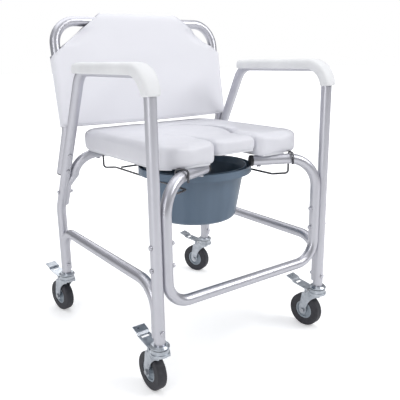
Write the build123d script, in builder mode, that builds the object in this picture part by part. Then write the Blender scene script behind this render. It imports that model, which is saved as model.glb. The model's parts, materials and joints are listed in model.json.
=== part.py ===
from build123d import *
import os
from math import cos, radians, sin, tan

# Wheeled commode chair: bolted frame of bent aluminium tube, padded seat with a lift-out insert,
# a pail that slides on wire rails, and four braked swivel casters.
# Millimetres, +Z up, the front faces -Y.  The origin lies on the floor under the chair's middle.

# ---------------------------------------------------------------- driving dimensions
TUBE_R = 12.7  # 1 inch tube
BORE_R = TUBE_R - 1.6
HALF_WIDTH = 250.0  # leg axis to the middle plane
FRONT_Y = -291.0  # front leg axis
WHEELBASE = 510.0  # front leg axis to lower rear leg axis
REAR_Y = FRONT_Y + WHEELBASE
FOOT_Z = 126.0  # open lower end of each leg
ARM_Z = 697.0  # axis of the horizontal arm
KINK_Z = 322.5  # where the rear leg starts to slant
SLANT = radians(27.4)  # rear leg, from the vertical
RECLINE = radians(10.0)  # upper part of the back tube, from the vertical
SEAT_TUBE_Z = 478.0  # axis of both tubes that carry the seat
CROSSBAR_Z = 207.5  # axis of the front loop's lower bar
RAIL_Z = 257.0  # axis of the lower side rails
RAIL_END_Z = 140.0
BACK_END_Z = 427.0  # lower end of the back tube
BACK_BEND_Z = 550.0  # where the back tube bends to its recline
BACK_TOP_Z = 818.0  # axis of the back tube's top bar

FRONT_BEND = 50.0
REAR_BEND = 60.0
KINK_BEND = 80.0
LOOP_TOP_BEND = 75.0
LOOP_LOW_BEND = 55.0
RAIL_BEND = 62.0
BACK_BEND = 60.0
BACK_CORNER = 62.0
ARM_SWEEP = radians(24.0)  # seat arms of the front loop, rearwards in plan
ARM_REACH = 170.0  # from the front upright's axis to the arm's open end

CONTACT_GAP = 0.05  # between tubes bolted side by side
LOOP_X = HALF_WIDTH - 2 * TUBE_R - CONTACT_GAP  # loops stand against the inner side of the legs
BACK_OFFSET = 2 * TUBE_R + CONTACT_GAP  # back tube's axis behind the slanted leg's axis
PRESSED_OFFSET = 7.5  # a pressed tube end's axis, from the leg's axis
PRESSED_R = 13.0

BOLT_R = 3.0
BOLT_HOLE_R = 3.1
HEAD_R = 5.6
HEAD_HEIGHT = 3.2
NUT_R = 5.6
NUT_HEIGHT = 4.0
DOME_R = 4.4
DOME_HEIGHT = 2.6
THREAD_REACH = 4.5  # length of a bolt inside its nut

LOOP_BOLT_Z = (297.0, 347.0)
RAIL_BOLT_Z = 155.0
REAR_LOOP_BOLT_Z = 371.0
BACK_BOLT_Z = (442.0, 487.0)

BOARD_Z = SEAT_TUBE_Z + TUBE_R + CONTACT_GAP  # underside of the seat
BOARD_THICK = 6.0
BOARD_INSET = 7.0  # the cushion overhangs its board
INSERT_BOARD_INSET = 4.0
SEAT_TOP_Z = 545.0
SEAT_HALF = 209.0
SEAT_FRONT_Y = FRONT_Y + 30.0
SEAT_REAR_Y = FRONT_Y + 450.0
SEAT_CORNER = 54.0
SEAT_EDGE = 10.0  # rounding of a cushion's upper edge
BOARD_EDGE = 1.0
SLOT_HALF = 61.0  # half width of the seat's front opening
SLOT_CORNER = 14.0
BOARD_SLOT_HALF = 80.0  # the board's slot leaves room for the caps on the seat arms
OVAL_Y = FRONT_Y + 225.0
OVAL_RX = 98.0
OVAL_RY = 118.0
LEDGE = 12.0  # shelf round the oval that carries the insert
INSERT_GAP = 1.0
INSERT_Z = 508.0  # underside of the insert
INSERT_TOP_Z = 541.0
INSERT_FRONT_Y = FRONT_Y + 35.0

PAIL_Y = FRONT_Y + 209.0
PAIL_TOP_Z = 458.0
PAIL_RIM_R = 145.0
PAIL_RIM_Z = 441.0  # underside of the rim
PAIL_LIP_R = 132.5  # outer side of the rim's inner lip
PAIL_BODY_R = 125.0
PAIL_BASE_R = 103.0
PAIL_BASE_Z = 322.0
PAIL_WALL = 2.5

WIRE_R = 2.5
WIRE_GAP = 0.3
WIRE_X = 131.0  # straight part of each wire rail
WIRE_Z = PAIL_RIM_Z - WIRE_R - WIRE_GAP
WIRE_TOP_Z = SEAT_TUBE_Z + TUBE_R + WIRE_R + WIRE_GAP  # where a hook lies over a seat tube
HOOK_END_Z = 466.0
HOOK_REACH = TUBE_R + WIRE_R + WIRE_GAP  # hook's axis from the seat tube's axis
FRONT_HOOK_REACH = 68.0  # along the seat arm, from the front upright's axis
REAR_HOOK_X = 157.0
HOOK_RUN = 18.0  # length over which a rail turns outwards to its hook
HOOK_BEND = 8.0
STOP_WIRE_Y = FRONT_Y + 362.0

# Casters, in their own frame: swivel axis on Z, the wheel trails towards +X.
WHEEL_R = 45.0
TRAIL = 35.0  # swivel axis to wheel axle
TYRE_HALF = 11.5
TYRE_EDGE = 4.0
HUB_R = 25.0
BOSS_R = 8.0
BOSS_HALF = 12.5
HUB_HALF = 9.5
WEB_HALF = 4.0
AXLE_R = 4.0
FORK_INNER = 13.5  # fork leg's inner side, from the middle plane
FORK_WALL = 2.5
CROWN_R = 22.0
CROWN_Z = 101.0
CROWN_TOP_Z = 107.0
RACE_R = 20.5
RACE_TOP_Z = 116.7
CUP_Z = 117.5
KINGPIN_R = 5.0
PIN_R = 2.0
PIN_X = 28.0
PIN_Z = 99.0
RUNNING_FIT = 0.06
PEDAL_HALF = 15.5
PEDAL_WALL = 2.4

# Swivel angle of each caster at rest: direction of its trail, degrees from +X towards +Y.
CASTERS = {
    "front_left": (-HALF_WIDTH, FRONT_Y, 90.0),
    "front_right": (HALF_WIDTH, FRONT_Y, 98.0),
    "rear_left": (-HALF_WIDTH, REAR_Y, 99.0),
    "rear_right": (HALF_WIDTH, REAR_Y, 112.0),
}
SIDES = {"left": -1, "right": 1}


# ---------------------------------------------------------------- helpers
def save(part, label):
    part.label = label
    export_step(part, f"parts/{label}.step")


def slant_point(z, behind=0.0):
    """Y and Z on the rear leg's slanted axis, moved off the axis towards the rear."""
    y = REAR_Y - tan(SLANT) * (z - KINK_Z)
    return y + behind * cos(SLANT), z + behind * sin(SLANT)


def slant_y(z, behind=0.0):
    """Y at height z of a line parallel to the slanted leg, a distance behind it."""
    return REAR_Y - tan(SLANT) * (z - KINK_Z) + behind / cos(SLANT)


def arm_point(sign, reach, ahead=0.0):
    """X and Y on a seat arm's axis, a distance from its upright, moved off it to the front."""
    x = LOOP_X - reach * cos(ARM_SWEEP) - ahead * sin(ARM_SWEEP)
    y = FRONT_Y + reach * sin(ARM_SWEEP) - ahead * cos(ARM_SWEEP)
    return sign * x, y


def rod(points, radii, outer, inner=0.0):
    """A round tube or bar along a bent path of straight runs and tangent arcs."""
    with BuildPart() as bar:
        with BuildLine() as path:
            FilletPolyline(*points, radius=radii)
        with BuildSketch(Plane(origin=path.line @ 0, z_dir=path.line % 0)):
            Circle(outer)
            if inner:
                Circle(inner, mode=Mode.SUBTRACT)
        sweep()
    return bar.part


def round_bar(start, direction, radius, length):
    """A straight solid bar from a start point along a direction."""
    with BuildPart() as bar:
        with BuildSketch(Plane(origin=start, z_dir=direction)):
            Circle(radius)
        extrude(amount=length)
    return bar.part


def bolt(face, direction, length):
    """A round-headed bolt: the head stands on the face, the shank runs along the direction."""
    seat = Plane(origin=face, z_dir=direction)
    with BuildPart() as screw:
        with BuildSketch(seat):
            Circle(HEAD_R)
        extrude(amount=-HEAD_HEIGHT)
        fillet(screw.edges().sort_by(Axis(face, direction))[0], radius=HEAD_HEIGHT / 2)
        with BuildSketch(seat):
            Circle(BOLT_R)
        extrude(amount=length)
    return screw.part


def acorn_nut(face, direction):
    """A domed hexagon nut that stands on the face and points along the direction."""
    seat = Plane(origin=face, z_dir=direction)
    with BuildPart() as nut:
        with BuildSketch(seat):
            RegularPolygon(NUT_R, 6)
        extrude(amount=NUT_HEIGHT)
        with BuildSketch(seat):
            Circle(DOME_R)
        extrude(amount=NUT_HEIGHT + DOME_HEIGHT)
        fillet(nut.edges().sort_by(Axis(face, direction))[-1], radius=DOME_HEIGHT / 2)
        with BuildSketch(seat):
            Circle(BOLT_R + CONTACT_GAP)
        extrude(amount=THREAD_REACH + CONTACT_GAP, mode=Mode.SUBTRACT)
    return nut.part


def group(solids):
    """Separate solids kept together as one node."""
    return Compound(children=list(solids))


os.makedirs("parts", exist_ok=True)

# ---------------------------------------------------------------- side frames
arm_rear_y = slant_y(ARM_Z)
slant_axis = (0, -sin(SLANT), cos(SLANT))
slant_normal = (0, cos(SLANT), sin(SLANT))
side_bends = [FRONT_BEND, REAR_BEND, KINK_BEND]
HOLE_REACH = 5 * TUBE_R


def side_path(x):
    return [
        (x, FRONT_Y, FOOT_Z),
        (x, FRONT_Y, ARM_Z),
        (x, arm_rear_y, ARM_Z),
        (x, REAR_Y, KINK_Z),
        (x, REAR_Y, FOOT_Z),
    ]


def bolt_holes(x):
    """Bars that cut the bolt holes through one side's legs and what is bolted to them."""
    holes = []
    for z in LOOP_BOLT_Z:
        holes.append(round_bar((x - HOLE_REACH, FRONT_Y, z), (1, 0, 0), BOLT_HOLE_R, 2 * HOLE_REACH))
    y, z = slant_point(REAR_LOOP_BOLT_Z)
    holes.append(round_bar((x - HOLE_REACH, y, z), (1, 0, 0), BOLT_HOLE_R, 2 * HOLE_REACH))
    for y in (FRONT_Y, REAR_Y):
        start = (x, y - HOLE_REACH, RAIL_BOLT_Z)
        holes.append(round_bar(start, (0, 1, 0), BOLT_HOLE_R, 2 * HOLE_REACH))
    for z in BACK_BOLT_Z:
        y0, z0 = slant_point(z, -HOLE_REACH)
        holes.append(round_bar((x, y0, z0), slant_normal, BOLT_HOLE_R, 3 * HOLE_REACH))
    return holes


holes_at = {side: bolt_holes(sign * HALF_WIDTH) for side, sign in SIDES.items()}
all_holes = holes_at["left"] + holes_at["right"]
leg_space = {
    side: rod(side_path(sign * HALF_WIDTH), side_bends, TUBE_R + CONTACT_GAP)
    for side, sign in SIDES.items()
}

for side, sign in SIDES.items():
    frame_tube = rod(side_path(sign * HALF_WIDTH), side_bends, TUBE_R, BORE_R)
    with BuildPart() as side_frame:
        add(frame_tube)
        add(holes_at[side], mode=Mode.SUBTRACT)
    save(side_frame.part, f"side_frame_{side}")

# ---------------------------------------------------------------- arm pads
PAD_HALF = 22.0
PAD_TOP = 18.0  # pad's top above the tube's axis
PAD_SKIRT = 12.0  # pad's side walls below the tube's axis
PAD_EDGE = 8.0
PAD_OVERHANG = 2.0  # pad's rear end beyond the arm's rear corner
PAD_FRONT_Z = 651.0
pad_path_z = ARM_Z - FRONT_BEND - 1.0  # the pad is swept past its front end, then cut to length

for side, sign in SIDES.items():
    x = sign * HALF_WIDTH
    pad_end = (x, arm_rear_y + PAD_OVERHANG, ARM_Z)
    with BuildPart() as arm_pad:
        with BuildLine():
            FilletPolyline(pad_end, (x, FRONT_Y, ARM_Z), (x, FRONT_Y, pad_path_z), radius=FRONT_BEND)
        with BuildSketch(Plane(origin=pad_end, x_dir=(1, 0, 0), z_dir=(0, -1, 0))) as section:
            with Locations((0, (PAD_TOP - PAD_SKIRT) / 2)):
                Rectangle(2 * PAD_HALF, PAD_TOP + PAD_SKIRT)
            fillet(section.vertices().group_by(Axis.Y)[-1], radius=PAD_EDGE)
            Rectangle(2 * (TUBE_R + CONTACT_GAP), PAD_SKIRT, align=(Align.CENTER, Align.MAX), mode=Mode.SUBTRACT)
        sweep()
        add(leg_space[side], mode=Mode.SUBTRACT)
        with BuildSketch(Plane.XY.offset(PAD_FRONT_Z)):
            with Locations((x, FRONT_Y)):
                Rectangle(4 * PAD_HALF, 4 * PAD_HALF)
        extrude(amount=-PAD_HALF, mode=Mode.SUBTRACT)
    save(arm_pad.part, f"arm_pad_{side}")

# ---------------------------------------------------------------- front loop
SEAT_SCREW_REACH = 150.0  # along the seat arm, from the upright's axis
SEAT_SCREW_X = 165.0
SCREW_R = 2.4
SCREW_HOLE_R = 2.5
SCREW_HEAD_R = 5.0
SCREW_HEAD_HEIGHT = 3.0

rear_bar_y = slant_y(SEAT_TUBE_Z)
screw_spots = [arm_point(sign, SEAT_SCREW_REACH) for sign in SIDES.values()]
screw_spots += [(sign * SEAT_SCREW_X, rear_bar_y) for sign in SIDES.values()]
screw_holes = [
    round_bar((x, y, SEAT_TUBE_Z - 2 * TUBE_R), (0, 0, 1), SCREW_HOLE_R, 4 * TUBE_R)
    for x, y in screw_spots
]

front_path = [
    (*arm_point(-1, ARM_REACH), SEAT_TUBE_Z),
    (-LOOP_X, FRONT_Y, SEAT_TUBE_Z),
    (-LOOP_X, FRONT_Y, CROSSBAR_Z),
    (LOOP_X, FRONT_Y, CROSSBAR_Z),
    (LOOP_X, FRONT_Y, SEAT_TUBE_Z),
    (*arm_point(1, ARM_REACH), SEAT_TUBE_Z),
]
front_bends = [LOOP_TOP_BEND, LOOP_LOW_BEND, LOOP_LOW_BEND, LOOP_TOP_BEND]
front_tube = rod(front_path, front_bends, TUBE_R, BORE_R)
with BuildPart() as front_loop:
    add(front_tube)
    add(all_holes + screw_holes, mode=Mode.SUBTRACT)
save(front_loop.part, "front_loop")

# Black caps on the open ends of the seat arms, and plugs in those of the back tube.
CAP_LENGTH = 4.0
CAP_PLUG = 10.0
CAP_SLEEVE = 3.0
CAP_R = TUBE_R + 0.9


def end_plug(end, direction, radius=TUBE_R):
    """A plug in a tube's open end.  One that is wider than the tube also has a sleeve round it."""
    mouth = Plane(origin=end, z_dir=direction)
    with BuildPart() as plug:
        with BuildSketch(mouth):
            Circle(radius)
        extrude(amount=CAP_LENGTH)
        fillet(plug.edges().sort_by(Axis(end, direction))[-1], radius=CAP_LENGTH / 3)
        with BuildSketch(mouth):
            Circle(BORE_R - CONTACT_GAP)
        extrude(amount=-CAP_PLUG)
        if radius > TUBE_R:
            with BuildSketch(mouth):
                Circle(radius)
                Circle(TUBE_R + CONTACT_GAP, mode=Mode.SUBTRACT)
            extrude(amount=-CAP_SLEEVE)
    return plug.part


arm_caps = []
for sign in SIDES.values():
    end = (*arm_point(sign, ARM_REACH), SEAT_TUBE_Z)
    arm_caps.append(end_plug(end, (-sign * cos(ARM_SWEEP), sin(ARM_SWEEP), 0), CAP_R))
save(group(arm_caps), "arm_end_caps")

# ---------------------------------------------------------------- rear loop
PRESS_TOP_Z = 422.0  # a round tube above this height
PRESS_FULL_Z = 394.0  # fully pressed below this height
PRESS_END_Z = 336.0

rear_path = [
    (-LOOP_X, slant_y(PRESS_TOP_Z), PRESS_TOP_Z),
    (-LOOP_X, rear_bar_y, SEAT_TUBE_Z),
    (LOOP_X, rear_bar_y, SEAT_TUBE_Z),
    (LOOP_X, slant_y(PRESS_TOP_Z), PRESS_TOP_Z),
]
rear_tube = rod(rear_path, LOOP_LOW_BEND, TUBE_R, BORE_R)
press_top = (-LOOP_X, slant_y(PRESS_TOP_Z), PRESS_TOP_Z)
press_full = (-HALF_WIDTH + PRESSED_OFFSET, slant_y(PRESS_FULL_Z), PRESS_FULL_Z)
with BuildPart() as pressed_end:
    with BuildSketch(Plane(origin=press_top, x_dir=(1, 0, 0), z_dir=slant_axis)):
        Circle(TUBE_R)
    with BuildSketch(Plane(origin=press_full, x_dir=(1, 0, 0), z_dir=slant_axis)):
        Circle(PRESSED_R)
    loft()
    with BuildSketch(Plane(origin=press_full, x_dir=(1, 0, 0), z_dir=slant_axis)):
        Circle(PRESSED_R)
    extrude(amount=-(PRESS_FULL_Z - PRESS_END_Z) / cos(SLANT))
    add(leg_space["left"], mode=Mode.SUBTRACT)
pressed_right = pressed_end.part.mirror(Plane.YZ)
with BuildPart() as rear_loop:
    add(rear_tube)
    add(pressed_end.part)
    add(pressed_right)
    add(all_holes + screw_holes, mode=Mode.SUBTRACT)
save(rear_loop.part, "rear_loop")

# ---------------------------------------------------------------- side rails
for side, sign in SIDES.items():
    x = sign * HALF_WIDTH
    front_end = FRONT_Y + PRESSED_OFFSET
    rear_end = REAR_Y - PRESSED_OFFSET
    rail_path = [
        (x, front_end, RAIL_END_Z),
        (x, front_end, RAIL_Z),
        (x, rear_end, RAIL_Z),
        (x, rear_end, RAIL_END_Z),
    ]
    rail_bar = rod(rail_path, RAIL_BEND, TUBE_R)
    bore_length = rear_end - front_end - 2 * RAIL_BEND
    with BuildPart() as side_rail:
        add(rail_bar)
        add(round_bar((x, front_end + RAIL_BEND, RAIL_Z), (0, 1, 0), BORE_R, bore_length), mode=Mode.SUBTRACT)
        add(leg_space[side], mode=Mode.SUBTRACT)
        add(holes_at[side], mode=Mode.SUBTRACT)
    save(side_rail.part, f"side_rail_{side}")

# ---------------------------------------------------------------- back tube
back_bend_y = slant_y(BACK_BEND_Z, BACK_OFFSET)
back_top_y = back_bend_y + tan(RECLINE) * (BACK_TOP_Z - BACK_BEND_Z)
back_end_y = slant_y(BACK_END_Z, BACK_OFFSET)
back_path = [
    (-HALF_WIDTH, back_end_y, BACK_END_Z),
    (-HALF_WIDTH, back_bend_y, BACK_BEND_Z),
    (-HALF_WIDTH, back_top_y, BACK_TOP_Z),
    (HALF_WIDTH, back_top_y, BACK_TOP_Z),
    (HALF_WIDTH, back_bend_y, BACK_BEND_Z),
    (HALF_WIDTH, back_end_y, BACK_END_Z),
]
back_bends = [BACK_BEND, BACK_CORNER, BACK_CORNER, BACK_BEND]
back_tube_full = rod(back_path, back_bends, TUBE_R, BORE_R)
with BuildPart() as back_tube:
    add(back_tube_full)
    add(all_holes, mode=Mode.SUBTRACT)
save(back_tube.part, "back_tube")

back_ends = [(sign * HALF_WIDTH, back_end_y, BACK_END_Z) for sign in SIDES.values()]
down_slant = (0, sin(SLANT), -cos(SLANT))
save(group([end_plug(end, down_slant) for end in back_ends]), "back_tube_plugs")

# ---------------------------------------------------------------- back sleeve
SLEEVE_HALF = 267.0
SLEEVE_SHOULDER_X = 118.0  # where the slanted shoulder meets the top edge
SLEEVE_WALL = 4.0
TUBE_CLEAR = 0.3
SLEEVE_HALF_DEPTH = TUBE_R + TUBE_CLEAR + SLEEVE_WALL
SLEEVE_LOW = 7.0  # lower edge, along the recline from the back tube's bend
SLEEVE_SIDE = 188.0  # upper end of the straight sides
SLEEVE_TOP = 295.5
SLEEVE_HEM = 10.0  # solid hem over the top bar

back_plane = Plane(
    origin=(0, back_bend_y, BACK_BEND_Z),
    x_dir=(1, 0, 0),
    z_dir=(0, -cos(RECLINE), sin(RECLINE)),
)
sleeve_outline = [
    (-SLEEVE_HALF, SLEEVE_LOW),
    (SLEEVE_HALF, SLEEVE_LOW),
    (SLEEVE_HALF, SLEEVE_SIDE),
    (SLEEVE_SHOULDER_X, SLEEVE_TOP),
    (-SLEEVE_SHOULDER_X, SLEEVE_TOP),
    (-SLEEVE_HALF, SLEEVE_SIDE),
]
pocket_half = HALF_WIDTH + TUBE_R + TUBE_CLEAR
pocket_top = SLEEVE_TOP - SLEEVE_HEM
pocket_outline = [
    (-pocket_half, 0),
    (pocket_half, 0),
    (pocket_half, SLEEVE_SIDE - SLEEVE_WALL / 2),
    (SLEEVE_SHOULDER_X + SLEEVE_HEM / 2, pocket_top),
    (-SLEEVE_SHOULDER_X - SLEEVE_HEM / 2, pocket_top),
    (-pocket_half, SLEEVE_SIDE - SLEEVE_WALL / 2),
]
back_clear = rod(back_path, back_bends, TUBE_R + TUBE_CLEAR)
with BuildPart() as back_sling:
    with BuildSketch(back_plane):
        Polygon(*sleeve_outline, align=None)
    extrude(amount=SLEEVE_HALF_DEPTH, both=True)
    with BuildSketch(back_plane):
        Polygon(*pocket_outline, align=None)
    extrude(amount=TUBE_R + TUBE_CLEAR, both=True, mode=Mode.SUBTRACT)
    add(back_clear, mode=Mode.SUBTRACT)
save(back_sling.part, "back_sling")

# ---------------------------------------------------------------- seat
seat_mid_y = (SEAT_FRONT_Y + SEAT_REAR_Y) / 2
seat_depth = SEAT_REAR_Y - SEAT_FRONT_Y


def seat_outline(inset=0.0):
    """Draws the seat's rounded outline into the open sketch."""
    with Locations((0, seat_mid_y)):
        RectangleRounded(2 * (SEAT_HALF - inset), seat_depth - 2 * inset, SEAT_CORNER - inset)


def seat_opening(shrink=0.0, slot_half=SLOT_HALF):
    """Cuts the oval and its front slot out of the open sketch."""
    with Locations((0, OVAL_Y)):
        Ellipse(OVAL_RX - shrink, OVAL_RY - shrink, mode=Mode.SUBTRACT)
    with Locations((0, OVAL_Y)):
        Rectangle(2 * slot_half, seat_depth, align=(Align.CENTER, Align.MAX), mode=Mode.SUBTRACT)


hook_x, hook_y = arm_point(1, FRONT_HOOK_REACH)
NOTCH_HALF = 15.0
NOTCH_DEPTH = 27.0
REAR_NOTCH_HALF = 5.0
REAR_NOTCH_DEPTH = 42.0

with BuildPart() as seat_board:
    with BuildSketch(Plane.XY.offset(BOARD_Z)):
        seat_outline(BOARD_INSET)
        seat_opening(LEDGE, BOARD_SLOT_HALF)
        with Locations((-hook_x, SEAT_FRONT_Y), (hook_x, SEAT_FRONT_Y)):
            Rectangle(2 * NOTCH_HALF, 2 * NOTCH_DEPTH, mode=Mode.SUBTRACT)
        with Locations((-REAR_HOOK_X, SEAT_REAR_Y), (REAR_HOOK_X, SEAT_REAR_Y)):
            Rectangle(2 * REAR_NOTCH_HALF, 2 * REAR_NOTCH_DEPTH, mode=Mode.SUBTRACT)
    extrude(amount=BOARD_THICK)
    with BuildSketch(Plane.XY.offset(BOARD_Z)):
        with Locations((0, OVAL_Y)):
            Ellipse(OVAL_RX - CONTACT_GAP, OVAL_RY - CONTACT_GAP)
        seat_opening(LEDGE, BOARD_SLOT_HALF)
    extrude(amount=INSERT_Z - BOARD_Z)
    add(screw_holes, mode=Mode.SUBTRACT)
save(seat_board.part, "seat_board")

with BuildPart() as seat_cushion:
    with BuildSketch(Plane.XY.offset(BOARD_Z + BOARD_THICK)) as seat_shape:
        seat_outline()
        seat_opening()
        front_corners = seat_shape.vertices().group_by(Axis.Y)[0]
        slot_mouth = front_corners.filter_by_position(Axis.X, -SLOT_HALF - 1, SLOT_HALF + 1)
        fillet(slot_mouth, radius=SLOT_CORNER)
    extrude(amount=SEAT_TOP_Z - BOARD_Z - BOARD_THICK)
    fillet(seat_cushion.edges().group_by(Axis.Z)[-1], radius=SEAT_EDGE)
save(seat_cushion.part, "seat_cushion")


def insert_slab(low, high, edge, inset=0.0):
    """The lift-out insert's outline, or a smaller one, between two heights."""
    smaller = INSERT_GAP + inset
    with BuildPart() as slab:
        with BuildSketch(Plane.XY.offset(low)) as shape:
            with Locations((0, OVAL_Y)):
                Ellipse(OVAL_RX - smaller, OVAL_RY - smaller)
                Rectangle(
                    2 * (SLOT_HALF - smaller),
                    OVAL_Y - INSERT_FRONT_Y - inset,
                    align=(Align.CENTER, Align.MAX),
                )
            fillet(shape.vertices().group_by(Axis.Y)[0], radius=SLOT_CORNER)
        extrude(amount=high - low)
        fillet(slab.edges().group_by(Axis.Z)[-1], radius=edge)
    return slab.part


insert_board = insert_slab(INSERT_Z, INSERT_Z + BOARD_THICK, BOARD_EDGE, INSERT_BOARD_INSET)
save(insert_board, "insert_board")
save(insert_slab(INSERT_Z + BOARD_THICK, INSERT_TOP_Z, SEAT_EDGE), "insert_cushion")

seat_screws = []
for x, y in screw_spots:
    head_face = SEAT_TUBE_Z - TUBE_R
    with BuildPart() as seat_screw:
        with BuildSketch(Plane.XY.offset(head_face)):
            with Locations((x, y)):
                Circle(SCREW_HEAD_R)
        extrude(amount=-SCREW_HEAD_HEIGHT)
        with BuildSketch(Plane.XY.offset(head_face)):
            with Locations((x, y)):
                Circle(SCREW_R)
        extrude(amount=BOARD_Z + BOARD_THICK / 2 - head_face)
    seat_screws.append(seat_screw.part)
save(group(seat_screws), "seat_screws")

# ---------------------------------------------------------------- pail
BASE_ROUND = 14.0
with BuildPart() as pail:
    with BuildSketch(Plane(origin=(0, PAIL_Y, 0), x_dir=(1, 0, 0), z_dir=(0, -1, 0))) as pail_half:
        Polygon(
            (0, PAIL_BASE_Z),
            (PAIL_BASE_R, PAIL_BASE_Z),
            (PAIL_BODY_R, PAIL_RIM_Z),
            (PAIL_RIM_R, PAIL_RIM_Z),
            (PAIL_RIM_R, PAIL_TOP_Z),
            (PAIL_RIM_R - PAIL_WALL, PAIL_TOP_Z),
            (PAIL_RIM_R - PAIL_WALL, PAIL_RIM_Z + PAIL_WALL),
            (PAIL_LIP_R, PAIL_RIM_Z + PAIL_WALL),
            (PAIL_LIP_R, PAIL_TOP_Z),
            (PAIL_LIP_R - PAIL_WALL, PAIL_TOP_Z),
            (PAIL_BODY_R - PAIL_WALL, PAIL_RIM_Z + PAIL_WALL),
            (PAIL_BASE_R - PAIL_WALL, PAIL_BASE_Z + PAIL_WALL),
            (0, PAIL_BASE_Z + PAIL_WALL),
            align=None,
        )
    revolve(axis=Axis((0, PAIL_Y, 0), (0, 0, 1)))
    base_edges = pail.edges().filter_by(GeomType.CIRCLE).group_by(Axis.Z)
    fillet(base_edges[0], radius=BASE_ROUND)
    inner_base = pail.edges().filter_by(GeomType.CIRCLE).filter_by_position(
        Axis.Z, PAIL_BASE_Z + PAIL_WALL / 2, PAIL_BASE_Z + 2 * PAIL_WALL
    )
    fillet(inner_base, radius=BASE_ROUND - PAIL_WALL)
save(pail.part, "pail")

# ---------------------------------------------------------------- wire rails for the pail
for side, sign in SIDES.items():
    inner_x, inner_y = arm_point(sign, FRONT_HOOK_REACH, -HOOK_REACH)
    outer_x, outer_y = arm_point(sign, FRONT_HOOK_REACH, HOOK_REACH)
    hook_path = [
        (outer_x, outer_y, HOOK_END_Z),
        (outer_x, outer_y, WIRE_TOP_Z),
        (inner_x, inner_y, WIRE_TOP_Z),
        (inner_x, inner_y, WIRE_Z),
        (sign * WIRE_X, inner_y + HOOK_RUN, WIRE_Z),
        (sign * WIRE_X, rear_bar_y - HOOK_REACH - HOOK_RUN, WIRE_Z),
        (sign * REAR_HOOK_X, rear_bar_y - HOOK_REACH, WIRE_Z),
        (sign * REAR_HOOK_X, rear_bar_y - HOOK_REACH, WIRE_TOP_Z),
        (sign * REAR_HOOK_X, rear_bar_y + HOOK_REACH, WIRE_TOP_Z),
        (sign * REAR_HOOK_X, rear_bar_y + HOOK_REACH, HOOK_END_Z),
    ]
    corner_bends = [HOOK_BEND] * (len(hook_path) - 2)
    rail_wire = rod(hook_path, corner_bends, WIRE_R)
    save(rail_wire, f"pail_rail_{side}")

stop_z = WIRE_Z + 2 * WIRE_R
stop_wire = round_bar((-WIRE_X, STOP_WIRE_Y, stop_z), (1, 0, 0), WIRE_R, 2 * WIRE_X)
save(stop_wire, "pail_stop_wire")

# ---------------------------------------------------------------- fasteners
tube_pair = 4 * TUBE_R + CONTACT_GAP  # outer faces of two tubes bolted side by side
front_bolts, front_nuts, rear_bolts, rear_nuts = [], [], [], []
back_screws, back_nuts, rail_bolts, rail_nuts = [], [], [], []
for sign in SIDES.values():
    x = sign * HALF_WIDTH
    inward = (-sign, 0, 0)
    outer_face = sign * (HALF_WIDTH + TUBE_R)
    for z in LOOP_BOLT_Z:
        front_bolts.append(bolt((outer_face, FRONT_Y, z), inward, tube_pair + THREAD_REACH))
        front_nuts.append(acorn_nut((outer_face - sign * tube_pair, FRONT_Y, z), inward))
    y, z = slant_point(REAR_LOOP_BOLT_Z)
    rear_grip = TUBE_R + PRESSED_OFFSET + PRESSED_R
    rear_bolts.append(bolt((outer_face, y, z), inward, rear_grip + THREAD_REACH))
    rear_nuts.append(acorn_nut((outer_face - sign * rear_grip, y, z), inward))
    for z in BACK_BOLT_Z:
        head_y, head_z = slant_point(z, -TUBE_R)
        nut_y, nut_z = slant_point(z, tube_pair - TUBE_R)
        back_screws.append(bolt((x, head_y, head_z), slant_normal, tube_pair + THREAD_REACH))
        back_nuts.append(acorn_nut((x, nut_y, nut_z), slant_normal))
    rail_grip = 2 * TUBE_R + PRESSED_OFFSET
    for leg_y, towards in ((FRONT_Y, 1), (REAR_Y, -1)):
        head_y = leg_y - towards * TUBE_R
        rail_bolts.append(bolt((x, head_y, RAIL_BOLT_Z), (0, towards, 0), rail_grip + THREAD_REACH))
        rail_nuts.append(acorn_nut((x, head_y + towards * rail_grip, RAIL_BOLT_Z), (0, towards, 0)))
save(group(front_bolts), "front_bolts")
save(group(front_nuts), "front_nuts")
save(group(rear_bolts), "rear_bolts")
save(group(rear_nuts), "rear_nuts")
save(group(back_screws), "back_screws")
save(group(back_nuts), "back_nuts")
save(group(rail_bolts), "rail_bolts")
save(group(rail_nuts), "rail_nuts")

# ---------------------------------------------------------------- casters
STEM_TOP_Z = 168.0
STEM_R = BORE_R - CONTACT_GAP
RIVET_R = 8.0
RIVET_Z = 97.7
RIVET_TOP_Z = CROWN_Z - 0.3
CUP_CHAMFER = 2.0
CUP_SHOULDER = 4.0  # the cup slopes in below the tube
STEM_CHAMFER = 1.0

with BuildPart() as stem:
    with BuildSketch(Plane.XZ):
        Polygon(
            (0, RIVET_Z),
            (RIVET_R, RIVET_Z),
            (RIVET_R, RIVET_TOP_Z),
            (KINGPIN_R, RIVET_TOP_Z),
            (KINGPIN_R, CUP_Z),
            (CROWN_R - CUP_CHAMFER, CUP_Z),
            (CROWN_R, CUP_Z + CUP_CHAMFER),
            (CROWN_R, FOOT_Z - CUP_SHOULDER),
            (CROWN_R - CUP_SHOULDER, FOOT_Z),
            (STEM_R, FOOT_Z),
            (STEM_R, STEM_TOP_Z - STEM_CHAMFER),
            (STEM_R - STEM_CHAMFER, STEM_TOP_Z),
            (0, STEM_TOP_Z),
            align=None,
        )
    revolve(axis=Axis.Z)
    with BuildSketch(Plane.XZ):
        with Locations((0, RAIL_BOLT_Z)):
            Circle(BOLT_HOLE_R)
    extrude(amount=2 * STEM_R, both=True, mode=Mode.SUBTRACT)

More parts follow.
